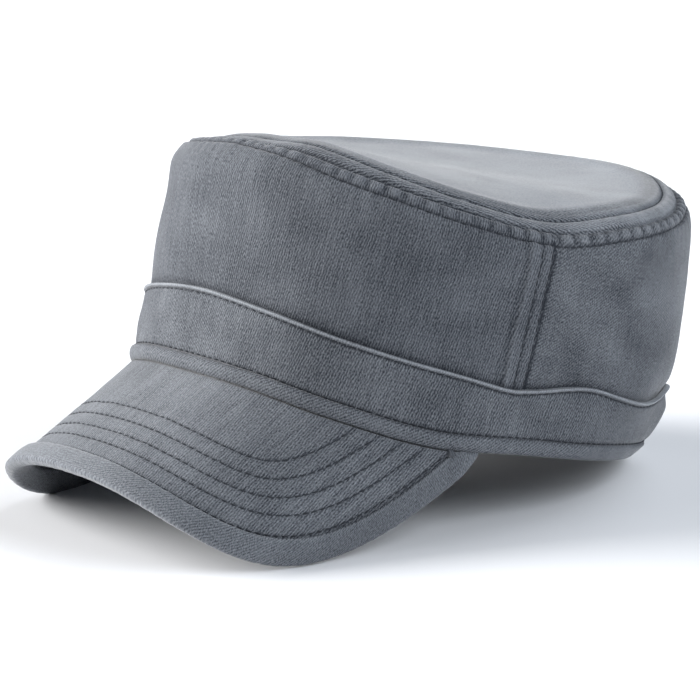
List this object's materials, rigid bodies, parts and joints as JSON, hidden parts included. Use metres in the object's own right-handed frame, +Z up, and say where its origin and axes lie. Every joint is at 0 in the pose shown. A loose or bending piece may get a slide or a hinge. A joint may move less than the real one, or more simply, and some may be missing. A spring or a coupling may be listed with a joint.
{
  "type": "patrol cap",
  "caption": "Soft fabric cap with a flat dished top, two side panels, a folded-up band round its foot and a stitched, bound and arched peak.",
  "frame": {"origin": "centre of the bounding box on the surface that the cap rests on", "axes": "+Z up, +Y from the peak to the back of the head, +X to the wearer's left"},
  "size_m": [0.18, 0.2656, 0.133],
  "materials": {
    "twill": "washed and faded cotton twill",
    "binding": "bias cut cotton twill tape"
  },
  "bodies": {
    "root": {"crown_top": "twill", "front_panel": "twill", "back_panel": "twill", "band": "twill", "hem": "twill", "peak": "twill", "peak_binding": "binding"}
  },
  "joints": []
}
